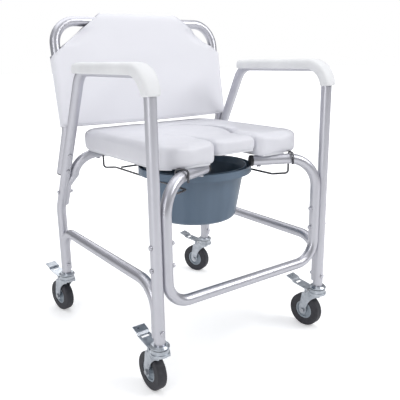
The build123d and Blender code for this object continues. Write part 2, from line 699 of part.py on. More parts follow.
# Fork: crown and lower race on the kingpin, two legs down to the axle.
FORK_FRONT_X = -17.0
FORK_REAR_X = 38.0
FORK_REAR_Z = 97.0
FORK_FOOT_R = 11.0
FORK_ANKLE_Z = WHEEL_R + 10.0  # where the straight foot ends
FORK_KNEE = (8.0, 84.0)  # a point on the front edge's curve
FORK_LIP_Z = CROWN_Z - 3.0
CROWN_FLAT_X = CROWN_R - 4.0
fork_outer = FORK_INNER + FORK_WALL
fork_toe_x = TRAIL - FORK_FOOT_R
fork_heel_x = TRAIL + FORK_FOOT_R
with BuildPart() as fork:
    with BuildSketch(Plane.XZ.offset(-fork_outer)):
        with BuildLine():
            Line((fork_toe_x, WHEEL_R), (fork_toe_x, FORK_ANKLE_Z))
            ThreePointArc((fork_toe_x, FORK_ANKLE_Z), FORK_KNEE, (FORK_FRONT_X, FORK_LIP_Z))
            Polyline(
                (FORK_FRONT_X, FORK_LIP_Z),
                (FORK_FRONT_X, CROWN_TOP_Z),
                (CROWN_FLAT_X, CROWN_TOP_Z),
                (FORK_REAR_X, FORK_REAR_Z),
                (fork_heel_x, FORK_ANKLE_Z),
                (fork_heel_x, WHEEL_R),
            )
            ThreePointArc((fork_heel_x, WHEEL_R), (TRAIL, WHEEL_R - FORK_FOOT_R), (fork_toe_x, WHEEL_R))
        make_face()
    extrude(amount=2 * fork_outer)
    with BuildSketch(Plane.XZ.offset(-FORK_INNER)):
        with Locations((0, CROWN_Z)):
            Rectangle(4 * WHEEL_R, 2 * WHEEL_R, align=(Align.CENTER, Align.MAX))
    extrude(amount=2 * FORK_INNER, mode=Mode.SUBTRACT)
    with BuildSketch(Plane.XY.offset(CROWN_Z)):
        with Locations((CROWN_R, 0)):
            Rectangle(2 * CROWN_R, 2 * FORK_INNER, align=(Align.MIN, Align.CENTER))
    extrude(amount=CROWN_TOP_Z - CROWN_Z, mode=Mode.SUBTRACT)
    with BuildSketch(Plane.XY.offset(CROWN_Z)):
        Circle(CROWN_R)
    extrude(amount=CROWN_TOP_Z - CROWN_Z)
    with BuildSketch(Plane.XY.offset(CROWN_TOP_Z)):
        Circle(RACE_R)
    extrude(amount=RACE_TOP_Z - CROWN_TOP_Z)
    with BuildSketch(Plane.XY.offset(CROWN_Z)):
        Circle(KINGPIN_R + RUNNING_FIT)
    extrude(amount=RACE_TOP_Z - CROWN_Z, mode=Mode.SUBTRACT)
    with BuildSketch(Plane.XZ.offset(-fork_outer)):
        with Locations((TRAIL, WHEEL_R)):
            Circle(AXLE_R + CONTACT_GAP)
        with Locations((PIN_X, PIN_Z)):
            Circle(PIN_R + CONTACT_GAP)
    extrude(amount=2 * fork_outer, mode=Mode.SUBTRACT)

# Axle bolt with its nut, and the pin the brake pedal turns on.
AXLE_HEAD_R = 6.5
AXLE_HEAD = 3.5
PIN_OVER = 1.2
with BuildPart() as axle:
    with BuildSketch(Plane.XZ.offset(-fork_outer)):
        with Locations((TRAIL, WHEEL_R)):
            Circle(AXLE_R)
    extrude(amount=2 * fork_outer)
    with BuildSketch(Plane.XZ.offset(fork_outer), Plane.XZ.offset(-fork_outer - AXLE_HEAD)):
        with Locations((TRAIL, WHEEL_R)):
            RegularPolygon(AXLE_HEAD_R, 6)
    extrude(amount=AXLE_HEAD)
with BuildPart() as pedal_pin:
    with BuildSketch(Plane.XZ.offset(-fork_outer - PIN_OVER)):
        with Locations((PIN_X, PIN_Z)):
            Circle(PIN_R)
    extrude(amount=2 * (fork_outer + PIN_OVER))

# Wheel: hub with a thin web and a rim, and the tyre round it.
RIM_WALL = 4.0
wheel_axis = Axis((TRAIL, 0, WHEEL_R), (0, 1, 0))
with BuildPart() as hub:
    with BuildSketch(Plane(origin=(TRAIL, 0, WHEEL_R), x_dir=(0, 1, 0), z_dir=(1, 0, 0))):
        Polygon(
            (-BOSS_HALF, AXLE_R + RUNNING_FIT),
            (BOSS_HALF, AXLE_R + RUNNING_FIT),
            (BOSS_HALF, BOSS_R),
            (WEB_HALF, BOSS_R),
            (WEB_HALF, HUB_R - RIM_WALL),
            (HUB_HALF, HUB_R - RIM_WALL),
            (HUB_HALF, HUB_R),
            (-HUB_HALF, HUB_R),
            (-HUB_HALF, HUB_R - RIM_WALL),
            (-WEB_HALF, HUB_R - RIM_WALL),
            (-WEB_HALF, BOSS_R),
            (-BOSS_HALF, BOSS_R),
            align=None,
        )
    revolve(axis=wheel_axis)
with BuildPart() as tyre:
    with BuildSketch(Plane(origin=(TRAIL, 0, WHEEL_R), x_dir=(0, 1, 0), z_dir=(1, 0, 0))) as tread:
        with Locations((0, (WHEEL_R + HUB_R + CONTACT_GAP) / 2)):
            Rectangle(2 * TYRE_HALF, WHEEL_R - HUB_R - CONTACT_GAP)
        fillet(tread.vertices().group_by(Axis.Y)[-1], radius=TYRE_EDGE)
    revolve(axis=wheel_axis)

# Brake pedal: a plate that rises to the rear, a raised tread beyond a slot, and two lugs.
PEDAL_START = (23.0, 108.5)
PEDAL_STEP = (70.0, 117.5)
PEDAL_TREAD = (74.0, 123.0)
PEDAL_END = (92.5, 129.5)
LUG_HALF = 4.5
LUG_WALL = 2.4
LUG_CLEAR = 0.3  # between a lug and the fork leg beside it
LUG_ROOT = 1.5  # how far a lug runs up into the plate
SLOT_WIDTH = 20.0
SLOT_X = (58.0, 66.0)
with BuildPart() as pedal:
    with BuildSketch(Plane.XZ.offset(-PEDAL_HALF)):
        with BuildLine():
            Polyline(PEDAL_START, PEDAL_STEP, PEDAL_TREAD, PEDAL_END)
            offset(amount=PEDAL_WALL, side=Side.LEFT)
        make_face()
    extrude(amount=2 * PEDAL_HALF)
    with BuildSketch(Plane.XY.offset(WHEEL_R)):
        with Locations(((SLOT_X[0] + SLOT_X[1]) / 2, 0)):
            Rectangle(SLOT_X[1] - SLOT_X[0], SLOT_WIDTH)
    extrude(amount=2 * WHEEL_R, mode=Mode.SUBTRACT)
    for lug_y in (FORK_INNER - LUG_CLEAR, -FORK_INNER + LUG_CLEAR + LUG_WALL):
        with BuildSketch(Plane.XZ.offset(-lug_y)):
            with Locations((PIN_X, PIN_Z)):
                Circle(LUG_HALF)
                lug_height = PEDAL_START[1] - PIN_Z + LUG_ROOT
                Rectangle(2 * LUG_HALF, lug_height, align=(Align.CENTER, Align.MIN))
                Circle(PIN_R + RUNNING_FIT, mode=Mode.SUBTRACT)
        extrude(amount=LUG_WALL)

caster_pieces = {
    "fork": fork.part,
    "pins": group([axle.part, pedal_pin.part]),
    "hub": hub.part,
    "tyre": tyre.part,
    "pedal": pedal.part,
}
for name, (x, y, angle) in CASTERS.items():
    save(stem.part.moved(Location((x, y, 0))), f"{name}_stem")
    for piece_name, piece in caster_pieces.items():
        save(piece.moved(Location((x, y, 0), (0, 0, angle))), f"{name}_{piece_name}")
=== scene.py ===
import json
from math import acos, cos, exp, hypot, pi, radians, sin, sqrt

import bmesh
import bpy
from mathutils import Matrix, Vector

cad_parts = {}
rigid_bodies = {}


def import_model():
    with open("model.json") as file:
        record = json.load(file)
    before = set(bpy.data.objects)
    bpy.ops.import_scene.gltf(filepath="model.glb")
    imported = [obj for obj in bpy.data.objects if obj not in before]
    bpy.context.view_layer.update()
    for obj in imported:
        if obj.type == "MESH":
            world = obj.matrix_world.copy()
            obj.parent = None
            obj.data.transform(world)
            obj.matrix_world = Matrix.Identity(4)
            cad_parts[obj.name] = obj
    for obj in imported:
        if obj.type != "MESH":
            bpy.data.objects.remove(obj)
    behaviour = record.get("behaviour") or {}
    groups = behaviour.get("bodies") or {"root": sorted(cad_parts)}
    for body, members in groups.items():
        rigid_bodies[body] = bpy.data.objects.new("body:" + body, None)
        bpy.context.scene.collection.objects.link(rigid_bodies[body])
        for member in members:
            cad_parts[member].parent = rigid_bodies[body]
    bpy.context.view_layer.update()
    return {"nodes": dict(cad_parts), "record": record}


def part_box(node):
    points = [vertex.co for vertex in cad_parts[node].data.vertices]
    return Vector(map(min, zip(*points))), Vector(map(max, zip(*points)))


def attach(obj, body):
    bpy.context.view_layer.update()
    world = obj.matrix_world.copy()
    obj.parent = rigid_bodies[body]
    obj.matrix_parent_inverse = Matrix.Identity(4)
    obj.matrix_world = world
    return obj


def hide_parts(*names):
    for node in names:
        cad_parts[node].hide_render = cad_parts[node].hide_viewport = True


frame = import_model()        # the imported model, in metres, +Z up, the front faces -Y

# Wheeled commode chair.  The tube frame, pail, wires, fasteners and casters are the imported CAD
# nodes with finished materials.  The seat pads, arm pads and back sleeve are soft pieces made here.

scene = bpy.context.scene


# ---------------------------------------------------------------- shader nodes
COLOUR_A, COLOUR_B, COLOUR_RESULT = 6, 7, 2  # a Mix node's colour sockets
WHITE = (1, 1, 1, 1)


def map_range(tree, value, start, end, low, high):
    """Adds a node that turns start..end into low..high, and returns its result."""
    node = tree.nodes.new("ShaderNodeMapRange")
    node.inputs["From Min"].default_value = start
    node.inputs["From Max"].default_value = end
    node.inputs["To Min"].default_value = low
    node.inputs["To Max"].default_value = high
    tree.links.new(value, node.inputs["Value"])
    return node.outputs["Result"]


# ---------------------------------------------------------------- camera, light, stage
CAMERA_PLACE = (-0.7789, -1.1783, 0.7192)
CAMERA_YAW, CAMERA_PITCH, CAMERA_ROLL = radians(35.91), radians(14.89), radians(-0.9385)
CAMERA_LENS, CAMERA_SENSOR = 47.78, 36.0  # in mm

FLOOR_SIZE = 60.0
FLOOR_COLOUR = (0.90, 0.90, 0.90, 1)
FLOOR_ROUGH = 0.9
FLOOR_GLOW_NEAR, FLOOR_GLOW_FAR = 0.35, 1.0
FLOOR_GLOW_START, FLOOR_GLOW_END = 0.5, 3.0  # metres from the middle, where the glow grows
FLOOR_GLOW_REFLECTED = 0.30  # share of the glow that other rays than the camera's see

STUDIO_LOW, STUDIO_HIGH = (0.16, 0.16, 0.17, 1), (0.56, 0.57, 0.59, 1)
STUDIO_LOW_AT, STUDIO_HIGH_AT = 0.02, 0.75  # a direction's Z, where straight up is 1

# Each lamp's name, place, target, size and power.
LAMPS = (
    ("key", (1.7, -2.0, 2.3), (0, 0, 0.4), (1.4, 1.4), 38),
    ("top", (0.0, 0.3, 2.7), (0, 0, 0.3), (2.6, 2.6), 26),
    ("left_strip", (-2.4, -1.2, 1.3), (0, 0, 0.5), (0.4, 2.0), 15),
    ("rear", (0.6, 2.4, 1.8), (0, 0, 0.5), (1.8, 1.2), 12),
)


def make_camera():
    """The photograph's view: from the front left at the arms' height, looking a little down."""
    yaw, pitch, roll = CAMERA_YAW, CAMERA_PITCH, CAMERA_ROLL
    look = Vector((sin(yaw) * cos(pitch), cos(yaw) * cos(pitch), -sin(pitch)))
    level = Vector((cos(yaw), -sin(yaw), 0))
    above = level.cross(look)
    right = level * cos(roll) + above * sin(roll)
    up = above * cos(roll) - level * sin(roll)
    data = bpy.data.cameras.new("camera")
    data.sensor_width = CAMERA_SENSOR
    data.lens = CAMERA_LENS
    camera = bpy.data.objects.new("camera", data)
    scene.collection.objects.link(camera)
    turn = Matrix((right, up, -look)).transposed().to_4x4()
    camera.matrix_world = Matrix.Translation(CAMERA_PLACE) @ turn
    scene.camera = camera


def area_light(name, place, target, size, power):
    data = bpy.data.lights.new(name, "AREA")
    data.shape = "RECTANGLE"
    data.size, data.size_y = size
    data.energy = power
    lamp = bpy.data.objects.new(name, data)
    scene.collection.objects.link(lamp)
    lamp.location = place
    aim = Vector(target) - Vector(place)
    lamp.rotation_euler = aim.to_track_quat("-Z", "Y").to_euler()


def floor_material():
    """A white studio floor, which glows more away from the chair so that it stays white."""
    m = bpy.data.materials.new("floor_white")
    m.use_nodes = True
    tree = m.node_tree
    shader = tree.nodes["Principled BSDF"]
    shader.inputs["Base Color"].default_value = FLOOR_COLOUR
    shader.inputs["Roughness"].default_value = FLOOR_ROUGH
    shader.inputs["Emission Color"].default_value = WHITE
    place = tree.nodes.new("ShaderNodeTexCoord")
    length = tree.nodes.new("ShaderNodeVectorMath")
    length.operation = "LENGTH"
    tree.links.new(place.outputs["Object"], length.inputs[0])
    glow = map_range(tree, length.outputs["Value"], FLOOR_GLOW_START, FLOOR_GLOW_END,
                     FLOOR_GLOW_NEAR, FLOOR_GLOW_FAR)
    # The chair's metal sees a darker floor than the camera does, as it would under flagged lamps.
    ray = tree.nodes.new("ShaderNodeLightPath")
    seen = map_range(tree, ray.outputs["Is Camera Ray"], 0.0, 1.0, FLOOR_GLOW_REFLECTED, 1.0)
    product = tree.nodes.new("ShaderNodeMath")
    product.operation = "MULTIPLY"
    tree.links.new(glow, product.inputs[0])
    tree.links.new(seen, product.inputs[1])
    tree.links.new(product.outputs[0], shader.inputs["Emission Strength"])
    return m


def make_world():
    """White for the camera, and a studio that darkens towards the floor for everything else."""
    world = bpy.data.worlds.new("studio")
    scene.world = world
    world.use_nodes = True
    tree = world.node_tree
    background = tree.nodes["Background"]
    background.inputs["Strength"].default_value = 1.0
    place = tree.nodes.new("ShaderNodeTexCoord")
    split = tree.nodes.new("ShaderNodeSeparateXYZ")
    tree.links.new(place.outputs["Generated"], split.inputs["Vector"])
    grade = tree.nodes.new("ShaderNodeValToRGB")
    low_end, high_end = grade.color_ramp.elements
    low_end.position, low_end.color = STUDIO_LOW_AT, STUDIO_LOW
    high_end.position, high_end.color = STUDIO_HIGH_AT, STUDIO_HIGH
    tree.links.new(split.outputs["Z"], grade.inputs["Fac"])
    ray = tree.nodes.new("ShaderNodeLightPath")
    choose = tree.nodes.new("ShaderNodeMix")
    choose.data_type = "RGBA"
    tree.links.new(ray.outputs["Is Camera Ray"], choose.inputs["Factor"])
    tree.links.new(grade.outputs["Color"], choose.inputs[COLOUR_A])
    choose.inputs[COLOUR_B].default_value = WHITE
    tree.links.new(choose.outputs[COLOUR_RESULT], background.inputs["Color"])


def make_stage():
    bpy.ops.mesh.primitive_plane_add(size=FLOOR_SIZE, location=(0, 0, 0))
    floor = bpy.context.object
    floor.name = "floor"
    floor.data.materials.append(floor_material())
    make_world()
    for lamp in LAMPS:
        area_light(*lamp)
    scene.view_settings.view_transform = "Standard"


# ---------------------------------------------------------------- materials
NOISE_LOW, NOISE_HIGH = 0.3, 0.7  # the spread of a noise's values
STEEL_BRIGHT, STEEL_DULL = 0.8, 1.3  # shares of a steel's roughness that it varies between
PLASTIC_BRIGHT, PLASTIC_DULL = 0.05, 0.07  # how far a plastic's roughness varies


class Nodes:
    """A material's nodes, with one short call for each kind of node used here."""

    def __init__(self, name):
        self.material = bpy.data.materials.new(name)
        self.material.use_nodes = True
        self.tree = self.material.node_tree
        self.shader = self.tree.nodes["Principled BSDF"]
        self.place = self.tree.nodes.new("ShaderNodeTexCoord").outputs["Object"]

    def link(self, a, b):
        self.tree.links.new(a, b)

    def new(self, kind, **settings):
        node = self.tree.nodes.new(f"ShaderNode{kind}")
        for key, value in settings.items():
            setattr(node, key, value)
        return node

    def scaled(self, factors):
        mapping = self.new("Mapping")
        mapping.inputs["Scale"].default_value = factors
        self.link(self.place, mapping.inputs["Vector"])
        return mapping.outputs["Vector"]

    def noise(self, scale, detail, place=None):
        node = self.new("TexNoise")
        node.inputs["Scale"].default_value = scale
        node.inputs["Detail"].default_value = detail
        self.link(place or self.place, node.inputs["Vector"])
        return node.outputs["Fac"]

    def cells(self, scale):
        node = self.new("TexVoronoi")
        node.inputs["Scale"].default_value = scale
        self.link(self.place, node.inputs["Vector"])
        return node.outputs["Distance"]

    def bands(self, scale, axis, distortion):
        node = self.new("TexWave", bands_direction=axis)
        node.inputs["Scale"].default_value = scale
        node.inputs["Distortion"].default_value = distortion
        self.link(self.place, node.inputs["Vector"])
        return node.outputs["Fac"]

    def ramp(self, value, low, high, start=NOISE_LOW, end=NOISE_HIGH):
        return map_range(self.tree, value, start, end, low, high)

    def math(self, operation, a, b):
        node = self.new("Math", operation=operation)
        self.link(a, node.inputs[0])
        if isinstance(b, (int, float)):
            node.inputs[1].default_value = b
        else:
            self.link(b, node.inputs[1])
        return node.outputs[0]

    def blend(self, first, second, share):
        """The first value by its share, and the second by what is left."""
        rest = self.math("MULTIPLY", second, 1 - share)
        return self.math("ADD", self.math("MULTIPLY", first, share), rest)

    def mix(self, value, first, second):
        node = self.new("Mix", data_type="RGBA")
        self.link(value, node.inputs["Factor"])
        node.inputs[COLOUR_A].default_value = (*first, 1)
        node.inputs[COLOUR_B].default_value = (*second, 1)
        return node.outputs[COLOUR_RESULT]

    def bump(self, height, strength, distance, under=None):
        node = self.new("Bump")
        node.inputs["Strength"].default_value = strength
        node.inputs["Distance"].default_value = distance
        self.link(height, node.inputs["Height"])
        if under:
            self.link(under, node.inputs["Normal"])
        return node.outputs["Normal"]

    def set(self, socket, value):
        if isinstance(value, (int, float)):
            self.shader.inputs[socket].default_value = value
        else:
            self.link(value, self.shader.inputs[socket])


def tube_material():
    """Satin anodised aluminium: drawn streaks, a cloudy sheen and a fine grain."""
    n = Nodes("satin_aluminium")
    cloud = n.noise(scale=9.0, detail=4.0)
    streak = n.noise(scale=60.0, detail=5.0, place=n.scaled((14.0, 14.0, 0.6)))
    shade = n.blend(cloud, streak, share=0.7)
    n.set("Metallic", 0.92)
    n.set("Base Color", n.mix(shade, (0.50, 0.50, 0.545), (0.64, 0.64, 0.68)))
    n.set("Roughness", n.ramp(cloud, low=0.32, high=0.44))
    grain = n.bump(n.noise(scale=1400.0, detail=2.0), strength=0.10, distance=0.0002)
    n.set("Normal", n.bump(streak, strength=0.05, distance=0.0003, under=grain))
    return n.material


def steel_material(name, dark, light, rough, bump_scale, bump_strength):
    """Plated steel with a cloudy, slightly uneven finish."""
    n = Nodes(name)
    cloud = n.noise(scale=55.0, detail=5.0)
    n.set("Metallic", 0.95)
    n.set("Base Color", n.mix(n.ramp(cloud, low=0, high=1, start=0.35, end=0.65), dark, light))
    n.set("Roughness", n.ramp(cloud, low=rough * STEEL_BRIGHT, high=rough * STEEL_DULL))
    grain = n.noise(scale=bump_scale, detail=3.0)
    n.set("Normal", n.bump(grain, strength=bump_strength, distance=0.0003))
    return n.material


def plastic_material(name, dark, light, rough, grain_scale, grain_strength, cloud_scale=14.0):
    """Moulded plastic: fine grain, a little colour and gloss variation."""
    n = Nodes(name)
    cloud = n.noise(scale=cloud_scale, detail=3.0)
    n.set("Base Color", n.mix(n.ramp(cloud, low=0, high=1), dark, light))
    n.set("Roughness", n.ramp(cloud, low=rough - PLASTIC_BRIGHT, high=rough + PLASTIC_DULL))
    n.set("Specular IOR Level", 0.45)
    grain = n.noise(scale=grain_scale, detail=2.0)
    n.set("Normal", n.bump(grain, strength=grain_strength, distance=0.0003))
    return n.material


def vinyl_material():
    """White upholstery vinyl: pebbled grain, soft gloss, faint creases."""
    n = Nodes("white_vinyl")
    shade = n.ramp(n.noise(scale=11.0, detail=3.0), low=0, high=1)
    n.set("Base Color", n.mix(shade, (0.690, 0.690, 0.735), (0.740, 0.740, 0.785)))
    n.set("Roughness", n.ramp(n.noise(scale=40.0, detail=4.0), low=0.36, high=0.50))
    n.set("Specular IOR Level", 0.5)
    n.set("Coat Weight", 0.12)
    n.set("Coat Roughness", 0.30)
    pebble = n.bump(n.cells(scale=620.0), strength=0.16, distance=0.0003)
    creases = n.noise(scale=130.0, detail=5.0)
    n.set("Normal", n.bump(creases, strength=0.05, distance=0.0010, under=pebble))
    return n.material


def cloth_material():
    """Coated white cloth: plain weave, a soft sheen and slow waves."""
    n = Nodes("white_cloth")
    cloud = n.noise(scale=7.0, detail=3.0)
    warp, weft = [n.bands(scale=260.0, axis=axis, distortion=0.6) for axis in ("X", "Z")]
    weave = n.math("MULTIPLY", warp, weft)
    shade = n.blend(cloud, weave, share=0.8)
    n.set("Base Color", n.mix(shade, (0.775, 0.775, 0.820), (0.850, 0.850, 0.890)))
    n.set("Roughness", n.ramp(cloud, low=0.62, high=0.78))
    n.set("Sheen Weight", 0.15)
    n.set("Sheen Roughness", 0.5)
    threads = n.bump(weave, strength=0.22, distance=0.0004)
    waves = n.noise(scale=16.0, detail=2.0)
    n.set("Normal", n.bump(waves, strength=0.10, distance=0.0030, under=threads))
    return n.material


def foam_material():
    """Self-skinned white foam of the arm pads: very fine pores, matt."""
    n = Nodes("white_foam")
    cloud = n.noise(scale=18.0, detail=3.0)
    shade = n.ramp(cloud, low=0, high=1)
    n.set("Base Color", n.mix(shade, (0.755, 0.760, 0.772), (0.815, 0.820, 0.830)))
    n.set("Roughness", n.ramp(cloud, low=0.52, high=0.66))
    n.set("Normal", n.bump(n.noise(scale=1100.0, detail=2.0), strength=0.12, distance=0.0003))
    return n.material


def pail_material():
    """Blue-grey moulded pail: fine grain, faint flow marks down the wall."""
    n = Nodes("pail_plastic")
    flow = n.noise(scale=22.0, detail=3.0, place=n.scaled((1.0, 1.0, 0.12)))
    shade = n.ramp(flow, low=0, high=1)
    n.set("Base Color", n.mix(shade, (0.098, 0.145, 0.205), (0.125, 0.180, 0.250)))
    n.set("Roughness", n.ramp(n.noise(scale=30.0, detail=3.0), low=0.30, high=0.42))
    grain = n.bump(n.noise(scale=900.0, detail=2.0), strength=0.08, distance=0.0003)
    n.set("Normal", n.bump(flow, strength=0.10, distance=0.0008, under=grain))
    return n.material


def tyre_material():
    """Grey-black rubber with a little dust."""
    n = Nodes("tyre_rubber")
    dust = n.noise(scale=90.0, detail=5.0)
    shade = n.ramp(dust, low=0, high=1, start=0.35)
    n.set("Base Color", n.mix(shade, (0.022, 0.022, 0.029), (0.045, 0.045, 0.054)))
    n.set("Roughness", n.ramp(dust, low=0.50, high=0.68))
    n.set("Normal", n.bump(n.noise(scale=700.0, detail=3.0), strength=0.18, distance=0.0004))
    return n.material


FINISHES = {
    "frame_tube": tube_material(),
    "arm_pad": foam_material(),
    "black_cap": plastic_material(
        "black_cap_plastic", dark=(0.012, 0.012, 0.014), light=(0.026, 0.026, 0.030),
        rough=0.42, grain_scale=900.0, grain_strength=0.15),
    "sleeve": cloth_material(),
    "seat_board": plastic_material(
        "board_plastic", dark=(0.66, 0.67, 0.70), light=(0.74, 0.75, 0.78),
        rough=0.50, grain_scale=700.0, grain_strength=0.12),
    "cushion": vinyl_material(),
    "pail": pail_material(),
    "wire": steel_material(
        "plated_wire", dark=(0.07, 0.07, 0.08), light=(0.19, 0.19, 0.20),
        rough=0.26, bump_scale=1500.0, bump_strength=0.10),
    "fastener": steel_material(
        "plated_fastener", dark=(0.46, 0.46, 0.50), light=(0.62, 0.62, 0.66),
        rough=0.26, bump_scale=1200.0, bump_strength=0.10),
    "caster_steel": steel_material(
        "zinc_plate", dark=(0.38, 0.41, 0.45), light=(0.58, 0.61, 0.65),
        rough=0.30, bump_scale=650.0, bump_strength=0.20),
    "caster_pin": steel_material(
        "zinc_pin", dark=(0.40, 0.42, 0.45), light=(0.56, 0.58, 0.61),
        rough=0.28, bump_scale=900.0, bump_strength=0.12),
    "hub": plastic_material(
        "hub_plastic", dark=(0.33, 0.38, 0.43), light=(0.43, 0.48, 0.53),
        rough=0.45, grain_scale=800.0, grain_strength=0.15, cloud_scale=60.0),
    "tyre": tyre_material(),
}


def finish_cad_nodes():
    """Gives every CAD node its procedural finish, on the object's own material slots."""
    for part in frame["record"]["subparts"]:
        node = frame["nodes"][part["node"]]
        for place in node.material_slots:
            place.link = "OBJECT"
            place.material = FINISHES[part["material_slot"]]


# ---------------------------------------------------------------- mesh helpers
def mesh_object(name, points, faces, material_slot):
    mesh = bpy.data.meshes.new(name)
    mesh.from_pydata([tuple(p) for p in points], [], faces)
    mesh.validate()
    made = bpy.data.objects.new(name, mesh)
    scene.collection.objects.link(made)
    mesh.materials.append(FINISHES[material_slot])
    tidy_mesh(made)
    return made


def tidy_mesh(made, merge=0.00001):
    """Merges doubled points, turns the faces outwards and shades them smooth."""
    work = bmesh.new()
    work.from_mesh(made.data)
    bmesh.ops.remove_doubles(work, verts=work.verts, dist=merge)
    bmesh.ops.recalc_face_normals(work, faces=work.faces)
    work.to_mesh(made.data)
    work.free()
    for face in made.data.polygons:
        face.use_smooth = True


def apply_modifiers(made):
    for other in scene.objects:
        other.select_set(other is made)
    bpy.context.view_layer.objects.active = made
    for modifier in list(made.modifiers):
        bpy.ops.object.modifier_apply(modifier=modifier.name)


def add_modifier(made, kind, **settings):
    modifier = made.modifiers.new(kind.lower(), kind)
    for key, value in settings.items():
        setattr(modifier, key, value)
    return modifier


def arc(cx, cy, radius, start, end, steps):
    """Points on an arc with both ends, angles in degrees."""
    angles = [radians(start + (end - start) * i / steps) for i in range(steps + 1)]
    return [(cx + radius * cos(a), cy + radius * sin(a)) for a in angles]


def smoothstep(low, high, value):
    t = min(max((value - low) / (high - low), 0.0), 1.0)
    return t * t * (3 - 2 * t)


def ring_sides(base, sides, rings):
    """The side faces between rings of points, which follow each other from the index base."""
    faces = []
    for ring in range(rings - 1):
        near = base + ring * sides
        far = near + sides
        for i in range(sides):
            j = (i + 1) % sides
            faces.append((near + i, near + j, far + j, far + i))
    return faces


def closed_rings(base, sides, rings):
    """The faces of a closed solid made of rings: its side and both ends."""
    first = tuple(base + i for i in reversed(range(sides)))
    last = tuple(base + (rings - 1) * sides + i for i in range(sides))
    return ring_sides(base, sides, rings) + [first, last]


# ---------------------------------------------------------------- seat pads
VOXEL = 0.0045
SIM_FIRST, SIM_LAST = 1, 20  # frames of the cloth simulation
SIM_PRESSURE = 4.0
START_INSET = 0.002  # a pad starts this much smaller, and swells out to its size
PAD_WRAP = 0.0045  # the cover wraps this far down round the board
SWELL_SIDE, SWELL_TOP = 0.0016, 0.0028  # how far a point may move in the swelling

seat_low, seat_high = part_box("seat_cushion")
insert_low, insert_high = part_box("insert_cushion")
SEAT_CORNER = 0.054
SLOT_HALF = 0.061
SLOT_CORNER = 0.019
INSERT_GAP = 0.001  # between the insert and the opening's wall
OVAL_RX, OVAL_RY = 0.098, 0.118
OVAL_Y = insert_high.y + INSERT_GAP - OVAL_RY
ARC_STEPS = 12
OVAL_STEPS = 56

SEAT_EDGE, INSERT_EDGE = 0.010, 0.007  # size of the cut along a blank's edges
LOW_CUT_IN, LOW_CUT_UP, TOP_CUT = 0.5, 0.6, 0.3  # the cut's shape, as shares of its size

SEAT_CROWN, SEAT_CROWN_REACH = 0.0025, 0.2
SEAT_FADE_LOW, SEAT_FADE_TOP = 0.02, 0.01  # the crown fades in between these, from bottom and top
DIMPLE_X, DIMPLE_Y, DIMPLE_R, DIMPLE_DEPTH = 0.081, -0.142, 0.009, 0.0030
INSERT_CROWN, INSERT_RISE = 0.0030, 0.0030
INSERT_RISE_START, INSERT_RISE_END = -0.16, -0.04  # the insert rises to its rear between these Y
INSERT_FADE_LOW, INSERT_FADE_TOP = 0.01, 0.004
GROOVE_START, GROOVE_END = -0.150, -0.060  # the groove closes rearwards between these Y
GROOVE_NEAR, GROOVE_FAR = 0.03, 0.16  # shares of the oval's radius from its outline
GROOVE_SHALLOW, GROOVE_DEEP = 0.010, 0.020  # below the pad's top
GROOVE_FILL = 0.85

EYELET_X, EYELET_Y, EYELET_R = -0.130, -0.066, 0.0028
EYELET_SIDES = 24
# From the middle outwards: share of the radius, height over the pad.
EYELET_PROFILE = (
    (0.0, -0.0010),
    (0.45, -0.0010),
    (0.62, -0.0002),
    (0.80, 0.0003),
    (1.0, -0.0001),
    (1.05, -0.0012),
)


def oval_arc(rx, ry, half_slot, rearwards):
    """The oval from one side of the slot round the rear to the other."""
    meet = acos(half_slot / rx)
    start, end = (-meet, pi + meet) if rearwards else (pi + meet, -meet)
    turns = [start + (end - start) * i / OVAL_STEPS for i in range(OVAL_STEPS + 1)]
    return [(rx * cos(t), OVAL_Y + ry * sin(t)) for t in turns]


def seat_outline(inset):
    """A rounded square with the oval and its front slot cut into it, counter-clockwise."""
    half, front, rear = seat_high.x - inset, seat_low.y + inset, seat_high.y - inset
    corner, slot = SEAT_CORNER - inset, SLOT_HALF + inset
    x, mouth = half - corner, slot + SLOT_CORNER
    points = arc(mouth, front + SLOT_CORNER, SLOT_CORNER, 180, 270, ARC_STEPS)
    points += arc(x, front + corner, corner, -90, 0, ARC_STEPS)
    points += arc(x, rear - corner, corner, 0, 90, ARC_STEPS)
    points += arc(-x, rear - corner, corner, 90, 180, ARC_STEPS)
    points += arc(-x, front + corner, corner, 180, 270, ARC_STEPS)
    points += arc(-mouth, front + SLOT_CORNER, SLOT_CORNER, 270, 360, ARC_STEPS)
    return points + oval_arc(OVAL_RX + inset, OVAL_RY + inset, slot, rearwards=False)


def insert_outline(inset):
    """The lift-out pad: the oval with a square front, counter-clockwise."""
    smaller = INSERT_GAP + inset
    slot, front = SLOT_HALF - smaller, insert_low.y + inset
    x = slot - SLOT_CORNER
    points = arc(-x, front + SLOT_CORNER, SLOT_CORNER, 180, 270, ARC_STEPS)
    points += arc(x, front + SLOT_CORNER, SLOT_CORNER, 270, 360, ARC_STEPS)
    return points + oval_arc(OVAL_RX - smaller, OVAL_RY - smaller, slot, rearwards=True)


def pad_blank(name, outline, low, high, edge):
    """A closed slab over an outline, with cut-back upper and lower edges."""
    count = len(outline)
    rings = (
        (low, edge * LOW_CUT_IN),
        (low + edge * LOW_CUT_UP, 0.0),
        (high - edge, 0.0),
        (high - edge * TOP_CUT, edge * TOP_CUT),
        (high, edge),
    )
    points = []
    for height, inset in rings:
        for i, (x, y) in enumerate(outline):
            (ax, ay), (bx, by) = outline[i - 1], outline[(i + 1) % count]
            along = Vector((bx - ax, by - ay)).normalized()
            points.append((x - along.y * inset, y + along.x * inset, height))
    return mesh_object(name, points, closed_rings(0, count, len(rings)), "cushion")


